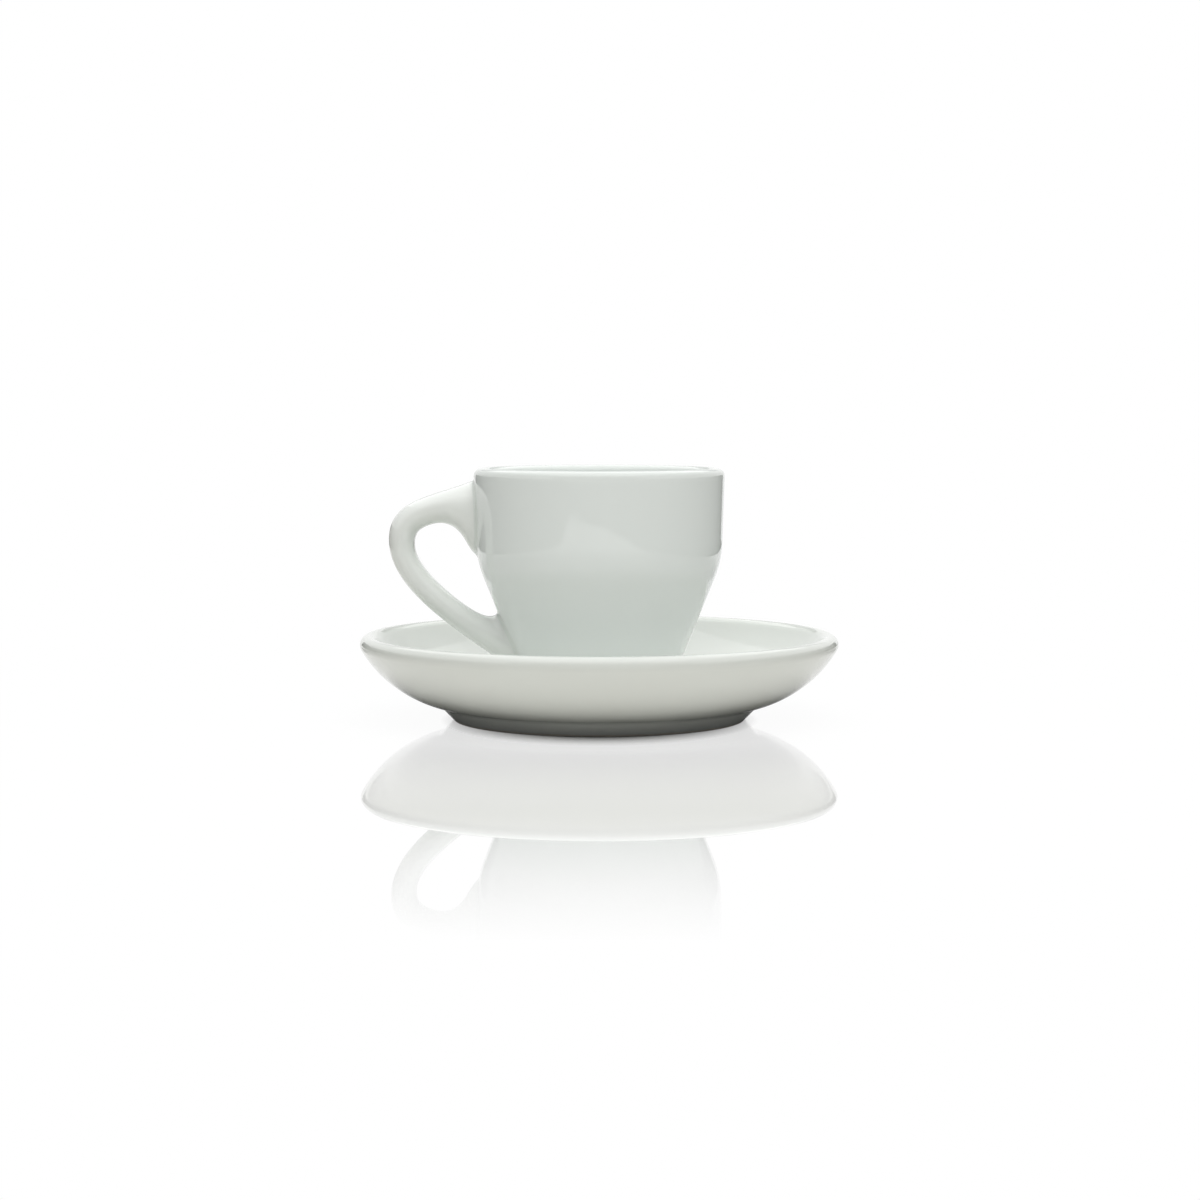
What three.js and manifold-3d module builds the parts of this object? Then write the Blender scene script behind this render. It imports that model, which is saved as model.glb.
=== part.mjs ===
// Espresso cup standing on its saucer, both of thick glazed porcelain.
// Millimetres, +Z up. The origin is on the table, on the axis that cup and saucer share.
// The handle points along -X.

import * as THREE from 'three';
import { mergeVertices } from 'three/addons/utils/BufferGeometryUtils.js';
import Module from 'manifold-3d';

// Saucer: a dish of even wall, one arc in section, rolled into a round lip
const saucerRadius = 60;          // over the lip
const saucerWall = 4.5;           // thickness of the dish, and diameter of the lip
const dishRadius = 30;            // arc of the underside
const dishRise = 60;              // slope of the dish where it runs into the lip, degrees
const saucerFootHeight = 3.05;    // the floor's underside above the table
const saucerFootRadius = 36.4;    // outer edge of the foot ring on the table
const saucerFootWidth = 3.4;      // the ring on the table, outer edge to inner edge
const saucerFootFlare = 3.6;      // how far the ring spreads on its way up to the dish
const wellDepth = 1.5;            // the flat seat sunk into the floor for the cup
const wellClearance = 3;          // play all round the cup's foot in the well

// Cup body: upright at the rim, a shoulder, then a cone down to the foot ring
const cupHeight = 57;
const rimRadius = 31.4;
const cupWall = 3.9;              // thickness of the wall, and diameter of the lip
const shoulderHeight = 39.5;      // where the upright wall starts to turn in, above the cup's foot
const shoulderWidth = 30.9;       // radius of the cup there
const shoulderArcRadius = 27;     // arc of the shoulder in section
const cupFootRadius = 17.6;       // outer edge of the foot ring
const cupFootWidth = 3;           // the ring, outer edge to inner edge
const cupFootHeight = 2.6;        // where the cone starts
const cupFootFlare = 0.5;         // how far the ring spreads on its way up to the cone
const baseRecess = 2.2;           // hollow under the base, inside the foot ring
const baseThickness = 4.3;        // the cup's floor
const bowlRadius = 11;            // round between the floor and the wall inside

// Handle: cast by itself and luted to the wall with slip
const handleBelowRim = 6.7;       // middle of the handle below the rim, where it leaves the wall
const handleAboveFoot = 9.8;      // middle of the handle above the cup's foot, where it comes back to the wall
const handleReach = 22;           // from the wall to the outermost point of the loop
const gripThickness = 6.9;        // the handle over the finger loop, seen from the side
const lowerThickness = 6.2;       // and below it, on the way back to the wall
const gripWidth = 9.4;            // across the handle
const upperRootDrop = 11.1;       // how far the upper root spreads down the wall, into the loop
const lowerRootRise = 6.6;        // how far the lower root spreads up the wall, into the loop
const upperRootReach = 5.5;       // how far out from the wall these spreads start
const lowerRootReach = 4.8;
const rootWidth = 12.6;           // across both roots
const rootTurn = 5.2;             // how far out the sections start to turn and lie along the wall
const lutingGap = 0.3;            // slip joint between the handle and the wall
const sectionPower = 2.6;         // superellipse of the handle's section: 2 is an ellipse
const rootPower = 1.8;            // how suddenly the roots spread: 2 is a bell curve

// Middle of the handle: two curves, which meet upright at the loop's outermost point. A pull is how far
// a curve follows its first or last direction.
const upperSlope = 20;            // falls away from the wall, degrees
const lowerSlope = 34;            // falls towards the wall, degrees
const loopHeightShare = 0.71;     // of the height between the two ends: where the outermost point is
const upperPullShare = 0.67;      // of the reach
const lowerPullShare = 1.12;      // of the reach
const loopTopPullShare = 0.63;    // of the height from the outermost point up to the upper end
const loopBottomPullShare = 0.31; // of the height from there down to the lower end
const slimStartShare = 0.3;       // where the handle starts to thin, as a share of its course
const slimEndShare = 0.45;        // and where it has thinned

// Small rounds on the edges
const footEdgeRound = 0.6;        // foot rings, at the table or the well
const footCornerRound = 1;        // inside the foot rings, below the floor
const wellEdgeRound = 0.8;

// Facets
const turnSteps = 56;
const arcSteps = 7;
const roundSteps = 2;
const lipSteps = 12;
const handleRings = 40;
const handleSides = 20;

const degrees = Math.PI / 180;
const lipRadius = saucerWall / 2;
const wellRadius = cupFootRadius + wellClearance;
const floorTop = saucerFootHeight + saucerWall;
const wellFloor = floorTop - wellDepth;

const wasm = await Module();
wasm.setup();

const glaze = (color) => new THREE.MeshStandardMaterial({ color, roughness: 0.08, metalness: 0 });

const polar = (centre, radius, angle) =>
  new THREE.Vector2(centre.x + radius * Math.cos(angle), centre.y + radius * Math.sin(angle));

function arc(centre, radius, from, to, steps) {
  const points = [];
  for (let i = 0; i <= steps; i++) {
    points.push(polar(centre, radius, from + (to - from) * i / steps));
  }
  return points;
}

// A corner between two straight stretches, rounded to a radius
function rounded(before, corner, after, radius) {
  const toBefore = before.clone().sub(corner).normalize();
  const toAfter = after.clone().sub(corner).normalize();
  const half = Math.acos(THREE.MathUtils.clamp(toBefore.dot(toAfter), -1, 1)) / 2;
  const bisector = toBefore.clone().add(toAfter).normalize();
  const centre = corner.clone().addScaledVector(bisector, radius / Math.sin(half));
  const reach = radius / Math.tan(half);
  const start = corner.clone().addScaledVector(toBefore, reach).sub(centre);
  const end = corner.clone().addScaledVector(toAfter, reach).sub(centre);
  const turn = Math.atan2(start.cross(end), start.dot(end));
  return arc(centre, radius, start.angle(), start.angle() + turn, roundSteps);
}

// Direction, from a circle's centre, of the point where the line from an outside point touches it
function touchAngle(point, centre, radius, side) {
  const away = point.clone().sub(centre);
  return Math.atan2(away.y, away.x) + side * Math.acos(radius / away.length());
}

// Solid of revolution about Z, from a profile of (radius, height) that ends on the axis
function revolve(profile) {
  const geometry = new THREE.LatheGeometry(profile, turnSteps);
  return geometry.rotateX(Math.PI / 2);
}

function toSolid(geometry) {
  const bare = geometry.clone();
  bare.deleteAttribute('normal');
  bare.deleteAttribute('uv');
  const merged = mergeVertices(bare, 1e-4);
  const triangles = [];
  for (let i = 0; i < merged.index.count; i += 3) {
    const [a, b, c] = merged.index.array.subarray(i, i + 3);
    if (a !== b && b !== c && c !== a) {
      triangles.push(a, b, c);
    }
  }
  const vertProperties = new Float32Array(merged.attributes.position.array);
  const triVerts = new Uint32Array(triangles);
  return new wasm.Manifold(new wasm.Mesh({ numProp: 3, vertProperties, triVerts }));
}

function toGeometry(solid) {
  const mesh = solid.getMesh();
  const geometry = new THREE.BufferGeometry();
  geometry.setAttribute('position', new THREE.BufferAttribute(new Float32Array(mesh.vertProperties), 3));
  geometry.setIndex(new THREE.BufferAttribute(new Uint32Array(mesh.triVerts), 1));
  return geometry;
}

function piece(name, geometry, color) {
  const mesh = new THREE.Mesh(geometry, glaze(color));
  mesh.name = name;
  return mesh;
}

// Saucer section: underside, foot ring, dish, lip, inside of the dish, well
function saucerProfile() {
  const at = (radius, height) => new THREE.Vector2(radius, height);
  const rise = dishRise * degrees;
  const dishCentre = at(
    saucerRadius - lipRadius - (dishRadius - lipRadius) * Math.sin(rise),
    saucerFootHeight + dishRadius
  );
  const lipCentre = polar(dishCentre, dishRadius - lipRadius, rise - Math.PI / 2);
  const footInner = saucerFootRadius - saucerFootWidth;
  const footTop = saucerFootRadius + saucerFootFlare;
  const footTopAngle = -Math.acos((footTop - dishCentre.x) / dishRadius);

  const underside = at(0, saucerFootHeight);
  const ringRoot = at(footInner, saucerFootHeight);
  const ringInside = at(footInner, 0);
  const ringOutside = at(saucerFootRadius, 0);
  const ringTop = polar(dishCentre, dishRadius, footTopAngle);
  const floorEdge = at(dishCentre.x, floorTop);
  const wellTop = at(wellRadius + wellDepth / 2, floorTop);
  const wellEdge = at(wellRadius, wellFloor);
  const wellCentre = at(0, wellFloor);

  return [
    underside,
    ...rounded(underside, ringRoot, ringInside, footCornerRound),
    ...rounded(ringRoot, ringInside, ringOutside, footEdgeRound),
    ...rounded(ringInside, ringOutside, ringTop, footEdgeRound),
    ...arc(dishCentre, dishRadius, footTopAngle, rise - Math.PI / 2, arcSteps),
    ...arc(lipCentre, lipRadius, rise - Math.PI / 2, rise + Math.PI / 2, lipSteps).slice(1),
    ...arc(dishCentre, dishRadius - saucerWall, rise - Math.PI / 2, -Math.PI / 2, arcSteps).slice(1),
    ...rounded(floorEdge, wellTop, wellEdge, wellEdgeRound),
    ...rounded(wellTop, wellEdge, wellCentre, wellEdgeRound),
    wellCentre,
  ];
}

// The cup's wall in section: the lip, the shoulder's arc, and the directions from the arc's centre
// of the points where the straight stretches touch it
const rimCentre = new THREE.Vector2(rimRadius - cupWall / 2, cupHeight - cupWall / 2);
const shoulderCentre = new THREE.Vector2(shoulderWidth - shoulderArcRadius, shoulderHeight);
const coneStart = new THREE.Vector2(cupFootRadius + cupFootFlare, cupFootHeight);
const uprightAngle = touchAngle(rimCentre, shoulderCentre, shoulderArcRadius - cupWall / 2, -1);
const coneAngle = touchAngle(coneStart, shoulderCentre, shoulderArcRadius, 1);

// Radius of the outside of the wall at a height above the cup's foot
function wallRadius(height) {
  const upright = polar(shoulderCentre, shoulderArcRadius, uprightAngle);
  const cone = polar(shoulderCentre, shoulderArcRadius, coneAngle);
  if (height > upright.y) {
    return upright.x - (height - upright.y) * Math.tan(uprightAngle);
  }
  if (height < cone.y) {
    return cone.x + (cone.y - height) * Math.tan(coneAngle);
  }
  return shoulderCentre.x + Math.sqrt(shoulderArcRadius ** 2 - (height - shoulderCentre.y) ** 2);
}

// Upward direction along the wall's outer face, on the side of the handle
function wallDirection(height) {
  const step = cupWall / 2;
  const rise = new THREE.Vector2(wallRadius(height) - wallRadius(height + step), step);
  return rise.normalize();
}

// Cup section: base, foot ring, cone, shoulder, lip, inside of the wall, bowl, floor
function cupProfile() {
  const at = (radius, height) => new THREE.Vector2(radius, height);
  const footInner = cupFootRadius - cupFootWidth;
  const underside = at(0, baseRecess);
  const ringRoot = at(footInner, baseRecess);
  const ringInside = at(footInner, 0);
  const ringOutside = at(cupFootRadius, 0);

  // The bowl's round touches the floor and the inside of the cone
  const floorHeight = baseRecess + baseThickness;
  const innerCone = polar(shoulderCentre, shoulderArcRadius - cupWall, coneAngle);
  const bowlHeight = floorHeight + bowlRadius;
  const coneAtBowl = innerCone.x + (innerCone.y - bowlHeight) * Math.tan(coneAngle);
  const bowlCentre = at(coneAtBowl - bowlRadius / Math.cos(coneAngle), bowlHeight);

  return [
    underside,
    ...rounded(underside, ringRoot, ringInside, footCornerRound),
    ...rounded(ringRoot, ringInside, ringOutside, footEdgeRound),
    ...rounded(ringInside, ringOutside, coneStart, footEdgeRound),
    coneStart,
    ...arc(shoulderCentre, shoulderArcRadius, coneAngle, uprightAngle, arcSteps),
    ...arc(rimCentre, cupWall / 2, uprightAngle, uprightAngle + Math.PI, lipSteps),
    ...arc(shoulderCentre, shoulderArcRadius - cupWall, uprightAngle, coneAngle, arcSteps),
    ...arc(bowlCentre, bowlRadius, coneAngle, -Math.PI / 2, arcSteps),
    at(0, floorHeight),
  ];
}

// Everything inside the wall's outer face, grown by a gap: what the handle's roots are cut to
function wallCutter(gap) {
  const top = cupHeight + cupWall;
  const grown = arc(shoulderCentre, shoulderArcRadius + gap, coneAngle, uprightAngle, arcSteps);
  const slant = gap / Math.cos(coneAngle);
  return revolve([
    new THREE.Vector2(0, 0),
    new THREE.Vector2(wallRadius(0) + slant, 0),
    ...grown,
    new THREE.Vector2(wallRadius(top) + gap, top),
    new THREE.Vector2(0, top),
  ]);
}

// The handle's spine in the plane of X and Z, with both ends run into the wall
function handleSpine() {
  const at = (x, height) => new THREE.Vector2(x, height);
  const slant = (angle) => at(-Math.cos(angle * degrees), Math.sin(angle * degrees));
  const reach = handleReach - gripThickness / 2;
  const upperHeight = cupHeight - handleBelowRim;
  const lowerHeight = handleAboveFoot;
  const loopHeight = THREE.MathUtils.lerp(lowerHeight, upperHeight, loopHeightShare);
  const upper = at(-wallRadius(upperHeight), upperHeight);
  const lower = at(-wallRadius(lowerHeight), lowerHeight);
  const loop = at(-wallRadius(loopHeight) - reach, loopHeight);
  const upperAway = slant(-upperSlope);
  const lowerAway = slant(lowerSlope);
  const buried = cupWall / 2;

  const spine = new THREE.CurvePath();
  spine.add(new THREE.LineCurve(upper.clone().addScaledVector(upperAway, -buried), upper));
  spine.add(new THREE.CubicBezierCurve(
    upper,
    upper.clone().addScaledVector(upperAway, reach * upperPullShare),
    at(loop.x, loopHeight + (upperHeight - loopHeight) * loopTopPullShare),
    loop
  ));
  spine.add(new THREE.CubicBezierCurve(
    loop,
    at(loop.x, loopHeight - (loopHeight - lowerHeight) * loopBottomPullShare),
    lower.clone().addScaledVector(lowerAway, reach * lowerPullShare),
    lower
  ));
  spine.add(new THREE.LineCurve(lower, lower.clone().addScaledVector(lowerAway, -buried)));
  return spine;
}

// Section of the handle at a share of its course: square to the spine on the loop. Towards the wall it
// turns to lie along the wall, and spreads on the side of the loop.
function handleSection(spine, share) {
  const middle = spine.getPoint(share);
  const course = spine.getTangent(share);
  const outward = Math.max(-middle.x - wallRadius(middle.y), 0);
  const turn = Math.exp(-((outward / rootTurn) ** 2));
  const square = new THREE.Vector2(course.y, -course.x);
  const alongWall = wallDirection(middle.y);
  alongWall.multiplyScalar(Math.sign(alongWall.dot(square)));
  const outer = square.clone().lerp(alongWall, turn).normalize();

  const onUpper = course.x < 0;
  const rootHeight = onUpper ? upperRootDrop : lowerRootRise;
  const rootReach = onUpper ? upperRootReach : lowerRootReach;
  const spread = rootHeight * Math.exp(-((outward / rootReach) ** rootPower));
  const slim = THREE.MathUtils.smoothstep(share, slimStartShare, slimEndShare);
  const thickness = THREE.MathUtils.lerp(gripThickness, lowerThickness, slim) / outer.dot(square);
  return {
    centre: middle.addScaledVector(outer, -spread / 2),
    outer: outer.multiplyScalar((thickness + spread) / 2),
    halfWidth: THREE.MathUtils.lerp(gripWidth, rootWidth, turn) / 2,
  };
}

// Loft through superellipses
function handleLoft() {
  const spine = handleSpine();
  const bulge = (value) => Math.sign(value) * Math.abs(value) ** (2 / sectionPower);
  const positions = [];
  for (let ring = 0; ring <= handleRings; ring++) {
    const { centre, outer, halfWidth } = handleSection(spine, ring / handleRings);
    for (let side = 0; side < handleSides; side++) {
      const angle = 2 * Math.PI * side / handleSides;
      const along = bulge(Math.cos(angle));
      const across = bulge(Math.sin(angle));
      positions.push(centre.x + outer.x * along, halfWidth * across, centre.y + outer.y * along);
    }
  }
  return closedLoft(positions, handleRings + 1, handleSides);
}

// Joins rings of points into a closed body, with a flat cap on each end
function closedLoft(positions, rings, sides) {
  const triangles = [];
  for (let ring = 0; ring < rings - 1; ring++) {
    for (let side = 0; side < sides; side++) {
      const a = ring * sides + side;
      const b = ring * sides + (side + 1) % sides;
      triangles.push(a, b, a + sides);
      triangles.push(b, b + sides, a + sides);
    }
  }
  const last = (rings - 1) * sides;
  for (let side = 1; side < sides - 1; side++) {
    triangles.push(0, side + 1, side);
    triangles.push(last, last + side, last + side + 1);
  }
  const geometry = new THREE.BufferGeometry();
  geometry.setAttribute('position', new THREE.Float32BufferAttribute(positions, 3));
  geometry.setIndex(triangles);
  return geometry;
}

const saucer = piece('saucer', revolve(saucerProfile()), 0xe9eae4);
const cupBody = piece('cup_body', revolve(cupProfile()), 0xe7ebe6);
const luted = toSolid(handleLoft()).subtract(toSolid(wallCutter(lutingGap)));
const cupHandle = piece('cup_handle', toGeometry(luted), 0xe7ebe6);

// The cup stands on the floor of the well
const cup = new THREE.Group();
cup.position.z = wellFloor;
cup.add(cupBody, cupHandle);

const cupAndSaucer = new THREE.Group();
cupAndSaucer.add(saucer, cup);

export default cupAndSaucer;
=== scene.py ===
# Espresso cup standing on its saucer, thick glazed porcelain, on a polished white sheet
import math

import bmesh
import bpy
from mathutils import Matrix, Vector


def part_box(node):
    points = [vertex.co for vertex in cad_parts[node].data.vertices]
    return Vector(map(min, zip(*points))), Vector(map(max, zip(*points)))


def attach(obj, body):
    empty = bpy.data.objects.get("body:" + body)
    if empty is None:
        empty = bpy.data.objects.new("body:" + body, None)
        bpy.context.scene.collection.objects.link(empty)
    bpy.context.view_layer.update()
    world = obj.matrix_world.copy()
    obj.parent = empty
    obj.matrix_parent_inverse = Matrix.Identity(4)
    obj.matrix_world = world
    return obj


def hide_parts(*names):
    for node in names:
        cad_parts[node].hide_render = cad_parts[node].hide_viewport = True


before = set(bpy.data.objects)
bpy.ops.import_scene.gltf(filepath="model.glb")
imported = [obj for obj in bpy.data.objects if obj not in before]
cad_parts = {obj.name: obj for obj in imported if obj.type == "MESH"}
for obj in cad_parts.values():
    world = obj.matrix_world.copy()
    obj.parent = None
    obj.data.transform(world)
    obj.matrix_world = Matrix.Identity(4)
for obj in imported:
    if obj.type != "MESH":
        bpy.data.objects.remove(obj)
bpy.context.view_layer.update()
mm = 0.001


def boxInMm(node):
    low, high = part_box(node)
    return low / mm, high / mm


def linear(hexColour):
    channels = [int(hexColour[i:i + 2], 16) / 255 for i in (1, 3, 5)]
    return [c / 12.92 if c <= 0.04045 else ((c + 0.055) / 1.055) ** 2.4 for c in channels] + [1]


white = (1, 1, 1, 1)


# Adds a node: a socket takes a value, or the output that is linked to it. Returns one of its outputs.
def addNode(tree, kind, sockets=None, output=None, **settings):
    node = tree.nodes.new(kind)
    for name, value in settings.items():
        setattr(node, name, value)
    for name, value in (sockets or {}).items():
        socket = [s for i, s in enumerate(node.inputs) if s.enabled and name in (i, s.name)][0]
        if isinstance(value, bpy.types.NodeSocket):
            tree.links.new(value, socket)
        else:
            socket.default_value = value
    shown = [s for s in node.outputs if s.enabled and output in (None, s.name)]
    return shown[0] if shown else None


def calculated(tree, operation, *values, **settings):
    return addNode(tree, "ShaderNodeMath", dict(enumerate(values)), operation=operation, **settings)


# From low to high while a value goes from start to end
def ramp(tree, value, start, end, low=0, high=1):
    return addNode(tree, "ShaderNodeMapRange", {"Value": value, "From Min": start, "From Max": end,
                                                "To Min": low, "To Max": high})


def mixedColour(tree, share, start, end):
    return addNode(tree, "ShaderNodeMix", {"Factor": share, "A": start, "B": end}, data_type="RGBA")


# Noise that varies over a width in mm
def noise(tree, place, width):
    return addNode(tree, "ShaderNodeTexNoise", {"Vector": place, "Scale": 1 / (width * mm)}, "Fac")


def newMaterial(name):
    material = bpy.data.materials.new(name)
    material.use_nodes = True
    material.node_tree.nodes.clear()
    return material


def mix(a, b, share):
    return a + (b - a) * share


def smoothstep(value, start, end):
    share = min(max((value - start) / (end - start), 0), 1)
    return share * share * (3 - 2 * share)


# Sections are lists of (radius, height) in mm
def polar(centre, radius, angle):
    return Vector((centre[0] + radius * math.cos(angle), centre[1] + radius * math.sin(angle)))


section = {
    "pointSpacing": 0.9,   # mm along the section, fine enough for clean reflections
    "leastArcSteps": 8,
    "turnSteps": 160,
    "onAxis": 1e-6,        # mm, points closer to the axis than this are on it
}


def arc(centre, radius, start, end):
    length = abs(end - start) * radius
    steps = max(section["leastArcSteps"], math.ceil(length / section["pointSpacing"]))
    return [polar(centre, radius, mix(start, end, i / steps)) for i in range(steps + 1)]


# Straight stretch without its two ends
def straight(start, end):
    steps = math.ceil((end - start).length / section["pointSpacing"])
    return [start.lerp(end, i / steps) for i in range(1, steps)]


# A corner between two straight stretches, rounded to a radius
def rounded(before, corner, after, radius):
    toBefore = (before - corner).normalized()
    toAfter = (after - corner).normalized()
    half = toBefore.angle(toAfter) / 2
    centre = corner + (toBefore + toAfter).normalized() * radius / math.sin(half)
    start = corner + toBefore * radius / math.tan(half) - centre
    end = corner + toAfter * radius / math.tan(half) - centre
    startAngle = math.atan2(start.y, start.x)
    return arc(centre, radius, startAngle, startAngle + math.atan2(start.cross(end), start.dot(end)))


# Direction, from a circle's centre, of the point where the line from an outside point touches it
def touchAngle(point, centre, radius, side):
    away = point - centre
    return math.atan2(away.y, away.x) + side * math.acos(radius / away.length)


# Joins stretches of a section, filling the straight gaps between them
def joined(*stretches):
    points = []
    for stretch in stretches:
        if points:
            points += straight(points[-1], stretch[0])
        points += stretch
    return points


# How sharply the section turns at each point, per mm: above 0 on an edge, below 0 in a hollow
def turning(points):
    turns = [0]
    for before, here, after in zip(points, points[1:], points[2:]):
        into, out = here - before, after - here
        turns.append(math.atan2(into.cross(out), into.dot(out)) / ((into.length + out.length) / 2))
    return turns + [0]


def newPiece(name, mesh):
    bmesh.ops.recalc_face_normals(mesh, faces=mesh.faces)
    for face in mesh.faces:
        face.smooth = True
    data = bpy.data.meshes.new(name)
    mesh.to_mesh(data)
    mesh.free()
    piece = bpy.data.objects.new(name, data)
    bpy.context.scene.collection.objects.link(piece)
    return piece


# Body turned on the wheel, from a section that starts and ends on the axis
def turnedPiece(name, points, base):
    mesh = bmesh.new()
    turnLayer = mesh.verts.layers.float.new("turn")
    steps = section["turnSteps"]
    rings = []
    for point, turn in zip(points, turning(points)):
        count = 1 if point.x < section["onAxis"] else steps
        ring = []
        for step in range(count):
            angle = 2 * math.pi * step / count
            place = Vector((point.x * math.cos(angle), point.x * math.sin(angle), point.y + base))
            vertex = mesh.verts.new(place * mm)
            vertex[turnLayer] = turn
            ring.append(vertex)
        rings.append(ring)
    for lower, upper in zip(rings, rings[1:]):
        for step in range(steps):
            corners = [lower[step % len(lower)], lower[(step + 1) % len(lower)],
                       upper[(step + 1) % len(upper)], upper[step % len(upper)]]
            mesh.faces.new(list(dict.fromkeys(corners)))
    return newPiece(name, mesh)


# Saucer: a dish of even wall, one arc in section, rolled into a round lip
saucerLow, saucerHigh = boxInMm("saucer")
saucer = {
    "radius": saucerHigh.x,
    "wall": 4.5,
    "dishRadius": 30,      # arc of the underside
    "dishRise": math.radians(60),
    "footHeight": 3.05,
    "footRadius": 36.4,
    "footWidth": 3.4,
    "footFlare": 3.6,
    "wellRadius": 20.6,
    "wellDepth": 1.5,
    "footEdgeRound": 0.6,
    "footCornerRound": 1,
    "wellEdgeRound": 0.8,
}


def saucerSection(size):
    lip = size["wall"] / 2
    dish = size["dishRadius"]
    rise = size["dishRise"]
    quarter = math.pi / 2
    dishCentre = Vector((size["radius"] - lip - (dish - lip) * math.sin(rise), size["footHeight"] + dish))
    lipCentre = polar(dishCentre, dish - lip, rise - quarter)
    ringInner = size["footRadius"] - size["footWidth"]
    ringTop = size["footRadius"] + size["footFlare"]
    ringTopAngle = -math.acos((ringTop - dishCentre.x) / dish)
    floor = size["footHeight"] + size["wall"]
    wellFloor = floor - size["wellDepth"]

    underside = Vector((0, size["footHeight"]))
    ringRoot = Vector((ringInner, size["footHeight"]))
    ringInside = Vector((ringInner, 0))
    ringOutside = Vector((size["footRadius"], 0))
    wellTop = Vector((size["wellRadius"] + size["wellDepth"] / 2, floor))
    wellEdge = Vector((size["wellRadius"], wellFloor))
    wellCentre = Vector((0, wellFloor))
    return joined(
        [underside],
        rounded(underside, ringRoot, ringInside, size["footCornerRound"]),
        rounded(ringRoot, ringInside, ringOutside, size["footEdgeRound"]),
        rounded(ringInside, ringOutside, polar(dishCentre, dish, ringTopAngle), size["footEdgeRound"]),
        arc(dishCentre, dish, ringTopAngle, rise - quarter)
        + arc(lipCentre, lip, rise - quarter, rise + quarter)[1:]
        + arc(dishCentre, dish - size["wall"], rise - quarter, -quarter)[1:],
        rounded(Vector((dishCentre.x, floor)), wellTop, wellEdge, size["wellEdgeRound"]),
        rounded(wellTop, wellEdge, wellCentre, size["wellEdgeRound"]),
        [wellCentre],
    )


saucerPiece = turnedPiece("saucer_glazed", saucerSection(saucer), saucerLow.z)
print("saucer:", len(saucerPiece.data.polygons), "faces")

# Cup body: upright at the rim, a shoulder, then a cone down to the foot ring
cupLow, cupHigh = boxInMm("cup_body")
cup = {
    "height": cupHigh.z - cupLow.z,
    "rimRadius": cupHigh.x,
    "wall": 3.9,
    "shoulderHeight": 39.5,
    "shoulderWidth": 30.9,
    "shoulderArc": 27,
    "footRadius": 17.6,
    "footWidth": 3,
    "footHeight": 2.6,
    "footFlare": 0.5,
    "baseRecess": 2.2,
    "baseThickness": 4.3,
    "bowlRadius": 11,
    "footEdgeRound": 0.6,
    "footCornerRound": 1,
    "coneStartRound": 1.5,
}
rimCentre = Vector((cup["rimRadius"] - cup["wall"] / 2, cup["height"] - cup["wall"] / 2))
shoulderCentre = Vector((cup["shoulderWidth"] - cup["shoulderArc"], cup["shoulderHeight"]))
coneStart = Vector((cup["footRadius"] + cup["footFlare"], cup["footHeight"]))
uprightAngle = touchAngle(rimCentre, shoulderCentre, cup["shoulderArc"] - cup["wall"] / 2, -1)
coneAngle = touchAngle(coneStart, shoulderCentre, cup["shoulderArc"], 1)


# Radius of the outside of the wall at a height above the cup's foot
def wallRadius(height):
    upright = polar(shoulderCentre, cup["shoulderArc"], uprightAngle)
    cone = polar(shoulderCentre, cup["shoulderArc"], coneAngle)
    if height > upright.y:
        return upright.x - (height - upright.y) * math.tan(uprightAngle)
    if height < cone.y:
        return cone.x + (cone.y - height) * math.tan(coneAngle)
    return shoulderCentre.x + math.sqrt(cup["shoulderArc"] ** 2 - (height - shoulderCentre.y) ** 2)


def cupSection(size):
    ringInner = size["footRadius"] - size["footWidth"]
    underside = Vector((0, size["baseRecess"]))
    ringRoot = Vector((ringInner, size["baseRecess"]))
    ringInside = Vector((ringInner, 0))
    ringOutside = Vector((size["footRadius"], 0))
    shoulder = size["shoulderArc"]
    coneEnd = polar(shoulderCentre, shoulder, coneAngle)

    # The bowl's round touches the floor and the inside of the cone
    floor = size["baseRecess"] + size["baseThickness"]
    innerCone = polar(shoulderCentre, shoulder - size["wall"], coneAngle)
    bowlHeight = floor + size["bowlRadius"]
    coneAtBowl = innerCone.x + (innerCone.y - bowlHeight) * math.tan(coneAngle)
    bowlCentre = Vector((coneAtBowl - size["bowlRadius"] / math.cos(coneAngle), bowlHeight))
    return joined(
        [underside],
        rounded(underside, ringRoot, ringInside, size["footCornerRound"]),
        rounded(ringRoot, ringInside, ringOutside, size["footEdgeRound"]),
        rounded(ringInside, ringOutside, coneStart, size["footEdgeRound"]),
        rounded(ringOutside, coneStart, coneEnd, size["coneStartRound"]),
        arc(shoulderCentre, shoulder, coneAngle, uprightAngle),
        arc(rimCentre, size["wall"] / 2, uprightAngle, uprightAngle + math.pi),
        arc(shoulderCentre, shoulder - size["wall"], uprightAngle, coneAngle),
        arc(bowlCentre, size["bowlRadius"], coneAngle, -math.pi / 2),
        [Vector((0, floor))],
    )


cupPiece = turnedPiece("cup_glazed", cupSection(cup), cupLow.z)
print("cup:", len(cupPiece.data.polygons), "faces")

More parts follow.
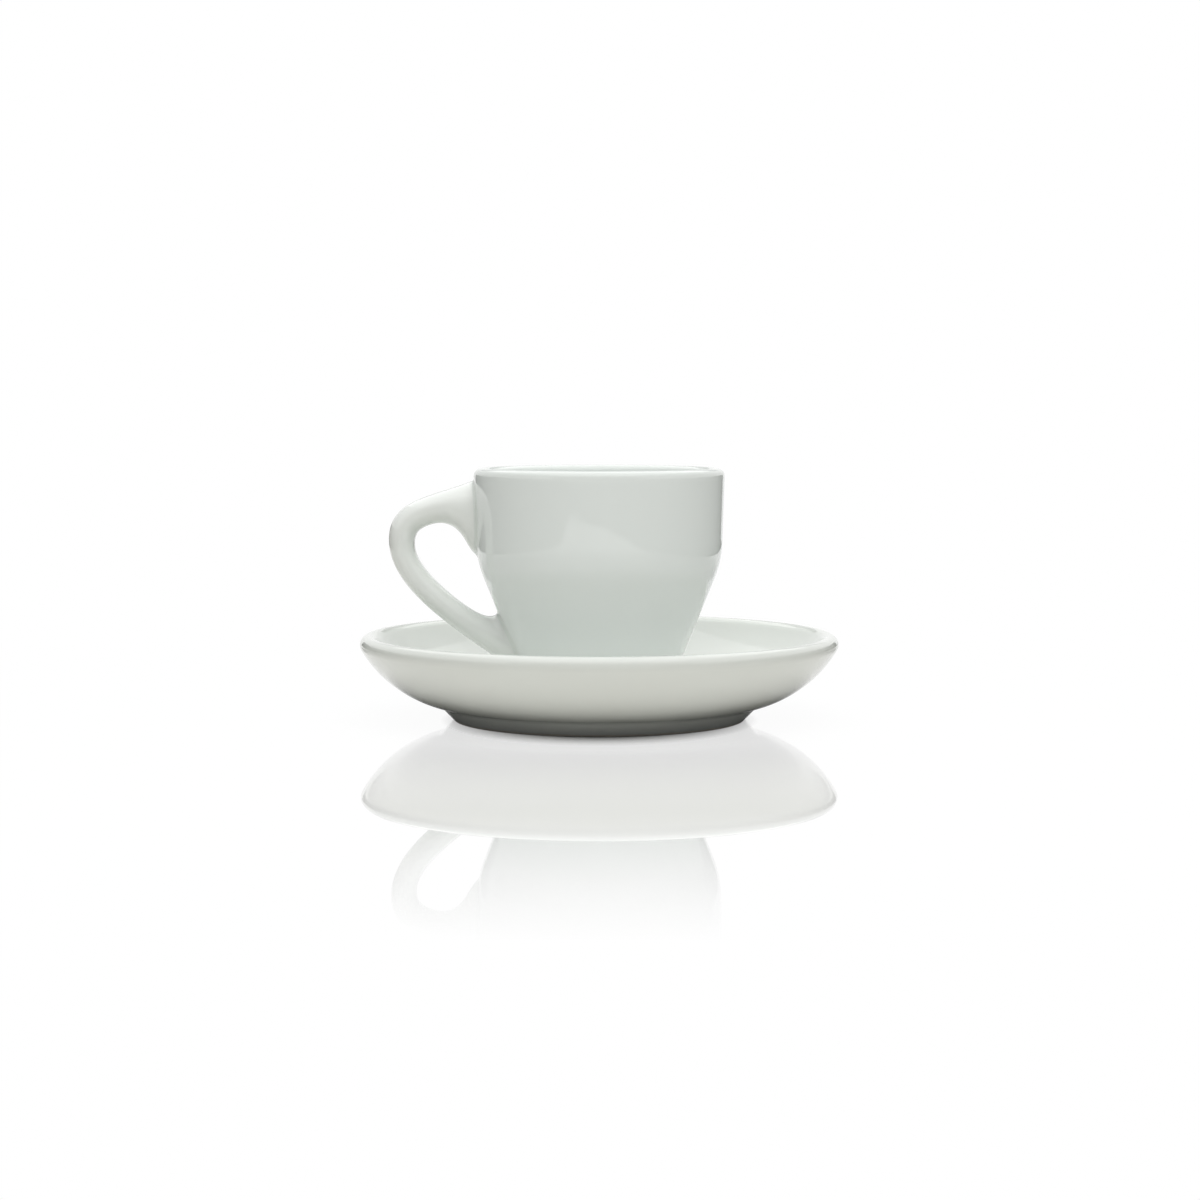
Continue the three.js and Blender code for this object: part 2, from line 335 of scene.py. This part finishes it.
# Handle: cast by itself and luted to the wall, with the glaze run into a small round where they meet
handle = {
    "belowRim": 6.7,         # mm, middle of the handle at its upper end
    "aboveFoot": 9.8,        # mm, and at its lower end
    "reach": 22,
    "gripThickness": 6.9,
    "lowerThickness": 6.2,
    "gripWidth": 9.4,
    # How far the roots spread along the wall into the loop, how far out from the wall the spread starts and
    # the sections start to lie along the wall, and the round of the glaze gathered at that end of the loop
    "upperRoot": {"spread": 10.6, "reach": 5.5, "turn": 5.9, "loopRound": 2},
    "lowerRoot": {"spread": 3.2, "reach": 4.8, "turn": 14, "loopRound": 4.3},
    "rootWidth": 12.6,
    "widening": 5.2,         # mm out from the wall
    "sectionPower": 2.1,     # superellipse: 2 is an ellipse
    "rootPower": 1.8,
    "upperSlope": math.radians(20),
    "lowerSlope": math.radians(34),
    "loopHeight": 0.71,      # the rest of the course in shares of its reach and heights
    "upperPull": 0.67,
    "lowerPull": 1.12,
    "loopTopPull": 0.63,
    "loopBottomPull": 0.31,
    "slimming": (0.39, 0.61),
    "turning": (0, 0.25),    # from the loop's outermost point, where the sections are square to the course
    "hugging": 2,            # mm out from the wall in which the rings take its round
    "glazeRound": 0.6,       # fired slip and glaze in the corner between handle and wall
    "gathering": 3,          # power by which that round grows towards the loop
    "glazePool": -0.5,       # as a turn of the section, per mm
    "buried": 0.8,           # how far the closed ends reach into the wall
    "rings": 170,
    "sides": 64,
}


# Middle of the handle: two cubic curves, which meet upright at the loop's outermost point
def handleCourse(size):
    reach = size["reach"] - size["gripThickness"] / 2
    upperHeight = cup["height"] - size["belowRim"]
    lowerHeight = size["aboveFoot"]
    loopHeight = mix(lowerHeight, upperHeight, size["loopHeight"])
    upper = Vector((-wallRadius(upperHeight), upperHeight))
    lower = Vector((-wallRadius(lowerHeight), lowerHeight))
    loop = Vector((-wallRadius(loopHeight) - reach, loopHeight))
    up = Vector((0, 1))
    return [
        [upper, polar(upper, reach * size["upperPull"], math.pi + size["upperSlope"]),
         loop + up * (upperHeight - loopHeight) * size["loopTopPull"], loop],
        [loop, loop - up * (loopHeight - lowerHeight) * size["loopBottomPull"],
         polar(lower, reach * size["lowerPull"], math.pi - size["lowerSlope"]), lower],
    ]


# Point of the course at a share from 0 to 1
def along(course, share):
    index = min(int(share * len(course)), len(course) - 1)
    t = share * len(course) - index
    start, startPull, endPull, end = course[index]
    return (start * (1 - t) ** 3 + startPull * 3 * t * (1 - t) ** 2
            + endPull * 3 * t ** 2 * (1 - t) + end * t ** 3)


# Ring of the handle: a superellipse square to the course, which near the wall spreads into the loop
# and lies along the wall
def handleRing(size, course, share):
    step = 1e-3   # share of the course
    middle = along(course, share)
    ahead = (along(course, min(share + step, 1)) - along(course, max(share - step, 0))).normalized()
    distance = max(-middle.x - wallRadius(middle.y), 0)
    root = size["upperRoot"] if ahead.x < 0 else size["lowerRoot"]
    fromLoop = abs(share - 0.5)   # the loop's outermost point is halfway along
    turn = math.exp(-(distance / root["turn"]) ** 2) * smoothstep(fromLoop, *size["turning"])
    wallStep = cup["wall"] / 2
    alongWall = Vector((wallRadius(middle.y) - wallRadius(middle.y + wallStep), wallStep)).normalized()
    square = Vector((ahead.y, -ahead.x))
    if alongWall.dot(square) < 0:
        alongWall.negate()
    outer = square.lerp(alongWall, turn).normalized()

    spread = root["spread"] * math.exp(-(distance / root["reach"]) ** size["rootPower"])
    bar = mix(size["gripThickness"], size["lowerThickness"], smoothstep(share, *size["slimming"]))
    halfThickness = (bar / outer.dot(square) + spread) / 2
    widening = math.exp(-(distance / size["widening"]) ** 2)
    halfWidth = mix(size["gripWidth"], size["rootWidth"], widening) / 2
    centre = middle - outer * spread / 2
    hugging = math.exp(-(distance / size["hugging"]) ** 2)
    power = 2 / size["sectionPower"]

    # Point of the ring under a thickness of glaze, and its gap to the wall
    def ringPoint(angle, glazed):
        out = math.copysign(abs(math.cos(angle)) ** power, math.cos(angle)) * (halfThickness + glazed)
        across = math.copysign(abs(math.sin(angle)) ** power, math.sin(angle)) * (halfWidth + glazed)
        x, height = centre + outer * out
        flatX = -wallRadius(middle.y) + (height - middle.y) * alongWall.x / alongWall.y
        roundX = -math.sqrt(wallRadius(height) ** 2 - across ** 2)
        x += (roundX - flatX) * hugging
        return Vector((x, across, height)), max(roundX - x, 0)

    ring = []
    for side in range(size["sides"]):
        angle = 2 * math.pi * side / size["sides"]
        gap = ringPoint(angle, 0)[1]
        towardsLoop = (1 - math.cos(angle)) / 2
        glazeRound = mix(size["glazeRound"], root["loopRound"], towardsLoop ** size["gathering"])
        glazed = glazeRound - math.sqrt(glazeRound ** 2 - max(glazeRound - gap, 0) ** 2)
        ring.append(ringPoint(angle, glazed)[0])
    return ring, size["glazePool"] if distance < size["glazeRound"] else 0


# Rings from wall to wall, closest together at the two ends
def handleRings(size):
    course = handleCourse(size)
    shares = [(1 - math.cos(math.pi * i / size["rings"])) / 2 for i in range(size["rings"] + 1)]
    rings = [handleRing(size, course, share) for share in shares]
    buried = Vector((size["buried"], 0, 0))
    ends = [([point + buried for point in ring], turn) for ring, turn in (rings[0], rings[-1])]
    return [ends[0], *rings, ends[1]]


def loftedPiece(name, rings, base):
    mesh = bmesh.new()
    turnLayer = mesh.verts.layers.float.new("turn")
    loops = []
    for ring, turn in rings:
        loop = [mesh.verts.new((point + Vector((0, 0, base))) * mm) for point in ring]
        for vertex in loop:
            vertex[turnLayer] = turn
        loops.append(loop)
    sides = len(loops[0])
    for lower, upper in zip(loops, loops[1:]):
        for side in range(sides):
            after = (side + 1) % sides
            mesh.faces.new((lower[side], lower[after], upper[after], upper[side]))
    mesh.faces.new(loops[0])
    mesh.faces.new(loops[-1])
    return newPiece(name, mesh)


handlePiece = loftedPiece("handle_glazed", handleRings(handle), cupLow.z)
print("handle:", len(handlePiece.data.polygons), "faces")


# Hard porcelain, turned or cast, dipped in a clear gloss glaze and fired. The glaze gives sharp
# reflections on a slightly uneven skin, runs thin over the edges and pools a shade deeper in hollows.
# On the edges a painted shade also darkens the tone, which dims their highlights.
# The foot rings are wiped bare before the firing, so the dry grey-white body shows there.
porcelain = {
    "ior": 1.52,
    "roughness": 0.02,
    "cloudWidth": 30,        # mm, slow drift of tone from the firing
    "skinWidth": 7,          # mm, from crest to crest of the uneven skin
    "skinDepth": 0.008,      # mm
    "hollowTurn": (-0.05, -0.9),   # per mm, from where the glaze starts to pool to where it is deepest
    "edgeTurn": (0.15, 0.9),       # per mm, from where the glaze starts to thin and the painted shade begins to where the glaze is thinnest and the shade darkest
    "speckSpacing": 4,       # mm, before most are left out
    "speckRadius": 0.22,     # mm
    "speckShare": 0.12,      # of the places for a speck that have one
    "speckColour": "#8d857a",
    "bareHeight": 0.7,       # mm up from the foot, wiped free of glaze
    "bareEdge": 0.1,         # mm, in which the glaze begins
    "bareWobble": 0.4,       # mm, up and down along the wiped line
    "bareWobbleWidth": 6,    # mm
    "bareRoughness": 0.75,
    "bareColour": "#d8d3c8",
    "gritWidth": 0.5,        # mm, coarser than the real grain of about 0.1 so that it shows
    "gritDepth": 0.05,       # mm
}


def glazedPorcelain(name, colours, footPlane):
    look = porcelain
    material = newMaterial(name)
    tree = material.node_tree
    place = addNode(tree, "ShaderNodeTexCoord", output="Object")
    height = addNode(tree, "ShaderNodeSeparateXYZ", {"Vector": place}, output="Z")
    turn = addNode(tree, "ShaderNodeAttribute", output="Fac", attribute_name="turn")

    # Tone: slow drift, then the thick and the thin places of the glaze, with painted shade on the thin edges
    cloud = noise(tree, place, look["cloudWidth"])
    tone = mixedColour(tree, cloud, linear(colours["glaze"]), linear(colours["drift"]))
    pooled = ramp(tree, turn, *look["hollowTurn"])
    tone = mixedColour(tree, pooled, tone, linear(colours["pooled"]))
    # Thin glaze over the edges, and painted shade there that dims their highlights
    thin = ramp(tree, turn, *look["edgeTurn"])
    tone = mixedColour(tree, thin, tone, linear(colours["thin"]))

    # A few iron specks under the glaze
    speck = look["speckRadius"] / look["speckSpacing"]
    cell = addNode(tree, "ShaderNodeTexVoronoi", {"Vector": place, "Scale": 1 / (look["speckSpacing"] * mm)},
                   "Distance")
    close = ramp(tree, cell, speck, speck / 2)
    chosen = calculated(tree, "GREATER_THAN", cell.node.outputs["Color"], 1 - look["speckShare"])
    specked = calculated(tree, "MULTIPLY", close, chosen)
    tone = mixedColour(tree, specked, tone, linear(look["speckColour"]))

    # The wiped foot, with a slightly wavering edge to the glaze
    wobble = noise(tree, place, look["bareWobbleWidth"])
    level = calculated(tree, "MULTIPLY_ADD", wobble, look["bareWobble"] * mm, height)
    glazeLine = footPlane + look["bareHeight"]
    bare = ramp(tree, level, (glazeLine + look["bareEdge"]) * mm, glazeLine * mm)
    tone = mixedColour(tree, bare, tone, linear(look["bareColour"]))
    roughness = addNode(tree, "ShaderNodeMix", {"Factor": bare, "A": look["roughness"],
                                                "B": look["bareRoughness"]})

    # The uneven skin of the glaze, and the grit of the bare body
    skin = noise(tree, place, look["skinWidth"])
    normal = addNode(tree, "ShaderNodeBump", {"Height": skin, "Distance": look["skinDepth"] * mm})
    grit = noise(tree, place, look["gritWidth"])
    normal = addNode(tree, "ShaderNodeBump", {"Strength": bare, "Height": grit, "Normal": normal,
                                              "Distance": look["gritDepth"] * mm})
    shader = addNode(tree, "ShaderNodeBsdfPrincipled", {"Base Color": tone, "Roughness": roughness,
                                                        "IOR": look["ior"], "Normal": normal})
    addNode(tree, "ShaderNodeOutputMaterial", {"Surface": shader})
    return material


# The last tone in each is thin glaze on the edges, darkened further by painted shade that dims their
# highlights
cupColours = {"glaze": "#e9eeeb", "drift": "#e7ece9", "pooled": "#d6dfda", "thin": "#d2d6d1"}
handleColours = {"glaze": "#e7eae6", "drift": "#e5e8e4", "pooled": "#d4dbd5", "thin": "#d0d2cc"}
saucerColours = {"glaze": "#e2e6e1", "drift": "#e0e3de", "pooled": "#d2d8d2", "thin": "#d2d5cf"}
cupGlaze = glazedPorcelain("glazed porcelain, cup", cupColours, cupLow.z)
handleGlaze = glazedPorcelain("glazed porcelain, handle", handleColours, cupLow.z)
saucerGlaze = glazedPorcelain("glazed porcelain, saucer", saucerColours, saucerLow.z)

for piece, node, body, glaze, slot in (
    (saucerPiece, "saucer", "saucer", saucerGlaze, "saucer_glaze"),
    (cupPiece, "cup_body", "cup", cupGlaze, "cup_glaze"),
    (handlePiece, "cup_handle", "cup", handleGlaze, "cup_glaze"),
):
    piece.data.materials.append(glaze)
    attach(piece, body)
    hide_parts(node)

# Stage: a polished white sheet, which fades into the white backdrop away from the cup. Reflections in the
# glaze also show the dim table beside the sheet, a low dark card on each side, the dim room in front and
# a pale stretch of wall high up behind.
stage = {
    "size": 3,               # m
    "sheetColour": "#f4f5f4",
    "sheetLift": 0.95,       # share of the sheet that is plain white: the rest takes shadows
    "sheetRoughness": 0.004,
    "sheetIor": 1.9,
    "sheetPolish": 1.35,     # more mirror than plain acrylic
    "bounceColour": "#ebe9e4",   # what the sheet sends back up
    "contactColour": "#1e1e1d",  # the sheet in the deep shadow round the foot
    "contactReach": (0.038, 0.055),   # m out from the axis, from deep shadow to none
    "contactOval": (0.82, 1, 1),      # it reaches further to the two sides
    "fade": (0.15, 0.27),    # m out from the axis, from polished sheet to pure white
    "dulled": (0.06, 0.17),  # m out from the axis, from the dulled middle to the full mirror
    "dulledShare": 0.36,     # how much of the mirror is left in the middle
    "shaded": (0.037, 0.052),   # m out from the axis, from the full shadow to the lifted white
    "shadedOval": (1.3, 1, 1),  # it reaches less far to the two sides
    # The edges of the sheet: the way each one faces, and its distance from the axis in m
    "sheetEdges": [((-1, 0), 0.235), ((1, 0), 0.205), ((0, -1), 0.475), ((0.48, -0.88), 0.432)],
    "tableColour": "#3c3d3c",
    "cardColour": "#3a3b3a",
    "cardDistance": 0.3,     # m to each side
    "cardReach": (-0.7, 0.63),   # m, from front to back
    "cardHeight": 0.11,      # m
    "roomColour": "#7c7e7d",
    "roomDistance": 1.2,     # m in front
    "roomReach": (-1.2, 1.2),    # m, from side to side
    "roomHeight": 0.95,      # m
    "wallColour": "#b3b4b3",
    "wallDistance": 1.3,     # m behind
    "wallReach": (-0.4, 0.4),    # m, from side to side
    "wallHeight": (0.4, 0.85),   # m, from its lower to its upper edge
}


# 1 for the rays that see the surround itself, 0 for the light that it sends out
def seenRays(tree):
    rays = addNode(tree, "ShaderNodeLightPath").node.outputs
    seen = calculated(tree, "MAXIMUM", rays["Is Camera Ray"], rays["Is Glossy Ray"])
    return calculated(tree, "MAXIMUM", seen, rays["Is Transmission Ray"])


# Distance from the axis on the sheet, in ovals
def outFromAxis(tree, place, oval):
    stretched = addNode(tree, "ShaderNodeVectorMath", {0: place, 1: oval}, operation="MULTIPLY")
    return addNode(tree, "ShaderNodeVectorMath", {0: stretched}, "Value", operation="LENGTH")


def polishedSheet(look):
    material = newMaterial("polished white acrylic sheet")
    tree = material.node_tree
    place = addNode(tree, "ShaderNodeTexCoord", output="Object")
    seen = seenRays(tree)
    glossy = addNode(tree, "ShaderNodeLightPath", output="Is Glossy Ray")

    # The dim table beside the sheet, as far back as the side cards reach. The glaze shows it, and the
    # camera sees white there.
    beside = 0
    for towards, edge in look["sheetEdges"]:
        out = addNode(tree, "ShaderNodeVectorMath", {0: place, 1: (*towards, 0)}, "Value",
                      operation="DOT_PRODUCT")
        past = calculated(tree, "GREATER_THAN", out, edge)
        beside = calculated(tree, "MAXIMUM", beside, past)
    back = addNode(tree, "ShaderNodeSeparateXYZ", {"Vector": place}, output="Y")
    ahead = calculated(tree, "LESS_THAN", back, look["cardReach"][1])
    beside = calculated(tree, "MULTIPLY", beside, ahead)
    table = calculated(tree, "MULTIPLY", beside, glossy)
    colour = mixedColour(tree, table, white, linear(look["tableColour"]))

    # The deep shadow round the foot, which the glaze above it shows and which sends up little light
    contact = ramp(tree, outFromAxis(tree, place, look["contactOval"]), *look["contactReach"], 1, 0)
    mirrored = calculated(tree, "MULTIPLY", contact, glossy)
    colour = mixedColour(tree, mirrored, colour, linear(look["contactColour"]))
    plain = addNode(tree, "ShaderNodeEmission", {"Color": colour})

    # The sheet near the cup: shadows on part of the white, and a mirror at low angles
    distance = addNode(tree, "ShaderNodeVectorMath", {0: place}, "Value", operation="LENGTH")
    close = ramp(tree, distance, *look["fade"], 1, 0)
    shaded = addNode(tree, "ShaderNodeBsdfDiffuse", {"Color": linear(look["sheetColour"])})
    matt = ramp(tree, outFromAxis(tree, place, look["shadedOval"]), *look["shaded"], 1, 1 - look["sheetLift"])
    matt = calculated(tree, "MULTIPLY", matt, close)
    sheet = addNode(tree, "ShaderNodeMixShader", {0: matt, 1: plain, 2: shaded})
    mirror = addNode(tree, "ShaderNodeBsdfGlossy", {"Color": white, "Roughness": look["sheetRoughness"]})
    fresnel = addNode(tree, "ShaderNodeFresnel", {"IOR": look["sheetIor"]})
    fresnel = calculated(tree, "MULTIPLY", fresnel, look["sheetPolish"])
    polish = calculated(tree, "MULTIPLY", fresnel, close, use_clamp=True)
    clear = ramp(tree, distance, *look["dulled"], look["dulledShare"])
    polish = calculated(tree, "MULTIPLY", polish, clear)
    sheet = addNode(tree, "ShaderNodeMixShader", {0: polish, 1: sheet, 2: mirror})

    # The light that the sheet and the table send back up
    bounceColour = mixedColour(tree, beside, linear(look["bounceColour"]), linear(look["tableColour"]))
    bounceColour = mixedColour(tree, contact, bounceColour, linear(look["contactColour"]))
    bounce = addNode(tree, "ShaderNodeBsdfDiffuse", {"Color": bounceColour})
    shader = addNode(tree, "ShaderNodeMixShader", {0: seen, 1: bounce, 2: sheet})
    addNode(tree, "ShaderNodeOutputMaterial", {"Surface": shader})
    return material


def plainCard(name, colour):
    material = newMaterial(name)
    card = addNode(material.node_tree, "ShaderNodeEmission", {"Color": linear(colour)})
    addNode(material.node_tree, "ShaderNodeOutputMaterial", {"Surface": card})
    return material


# Corners of an upright card, as (place along it, height)
def cardCorners(reach, heights):
    return [(reach[i], heights[j]) for i, j in ((0, 0), (1, 0), (1, 1), (0, 1))]


floorMesh = bmesh.new()
bmesh.ops.create_grid(floorMesh, x_segments=1, y_segments=1, size=stage["size"] / 2)
floor = newPiece("floor", floorMesh)
floor.data.materials.append(polishedSheet(stage))

darkCard = plainCard("dark card", stage["cardColour"])
dimRoom = plainCard("dim room", stage["roomColour"])
paleWall = plainCard("pale wall", stage["wallColour"])
sideCorners = cardCorners(stage["cardReach"], (0, stage["cardHeight"]))
roomCorners = cardCorners(stage["roomReach"], (0, stage["roomHeight"]))
wallCorners = cardCorners(stage["wallReach"], stage["wallHeight"])
for name, finish, corners in (
    ("card_left", darkCard, [(-stage["cardDistance"], y, z) for y, z in sideCorners]),
    ("card_right", darkCard, [(stage["cardDistance"], y, z) for y, z in sideCorners]),
    ("dim_room", dimRoom, [(x, -stage["roomDistance"], z) for x, z in roomCorners]),
    ("pale_wall", paleWall, [(x, stage["wallDistance"], z) for x, z in wallCorners]),
):
    cardMesh = bmesh.new()
    cardMesh.faces.new([cardMesh.verts.new(corner) for corner in corners])
    card = newPiece(name, cardMesh)
    card.data.materials.append(finish)
    card.visible_camera = False      # only reflections show it
    card.visible_diffuse = False
    card.visible_shadow = False

# Light: one large softbox overhead, a fill from the front that the glaze doesn't show, and an even surround
# that is brighter to look at than the light it gives
light = {
    "ambient": 0.45,
    "backdrop": 1,
    "overheadPlace": (0, 0.15, 0.75),    # m
    "overheadSize": (1, 1.6),            # m
    "overheadPower": 5,                  # W
    "frontPlace": (0.1, -0.52, 0.87),    # m
    "frontSize": (0.7, 0.7),             # m
    "frontPower": 3.65,                  # W
    "aim": (0, 0, 0.03),                 # m
}


def softbox(name, place, size, power, mirrored):
    data = bpy.data.lights.new(name, "AREA")
    data.shape = "RECTANGLE"
    data.size, data.size_y = size
    data.energy = power
    lamp = bpy.data.objects.new(name, data)
    lamp.location = place
    lamp.rotation_euler = (Vector(light["aim"]) - lamp.location).to_track_quat("-Z", "Y").to_euler()
    lamp.visible_glossy = mirrored
    bpy.context.scene.collection.objects.link(lamp)


softbox("overhead softbox", light["overheadPlace"], light["overheadSize"], light["overheadPower"], True)
softbox("front fill", light["frontPlace"], light["frontSize"], light["frontPower"], False)

world = bpy.data.worlds.new("white studio")
world.use_nodes = True
surroundTree = world.node_tree
surroundTree.nodes.clear()
ambient = addNode(surroundTree, "ShaderNodeBackground", {"Color": white, "Strength": light["ambient"]})
backdrop = addNode(surroundTree, "ShaderNodeBackground", {"Color": white, "Strength": light["backdrop"]})
surround = addNode(surroundTree, "ShaderNodeMixShader", {0: seenRays(surroundTree), 1: ambient, 2: backdrop})
addNode(surroundTree, "ShaderNodeOutputWorld", {"Surface": surround})
bpy.context.scene.world = world
bpy.context.scene.view_settings.view_transform = "Standard"
print("stage and light are set")

# Camera: low in front, from the fit of the cup's and the saucer's outlines
view = {
    "place": (0.2, -655.1, 81.6),   # mm
    "aim": (0.2, 0, 29.9),          # mm
    "lens": 78.5,                   # mm
    "sensor": 36,                   # mm wide
}
cameraData = bpy.data.cameras.new("camera")
cameraData.sensor_width = view["sensor"]
cameraData.lens = view["lens"]
camera = bpy.data.objects.new("camera", cameraData)
camera.location = Vector(view["place"]) * mm
sight = Vector(view["aim"]) - Vector(view["place"])
camera.rotation_euler = sight.to_track_quat("-Z", "Y").to_euler()
bpy.context.scene.collection.objects.link(camera)
bpy.context.scene.camera = camera
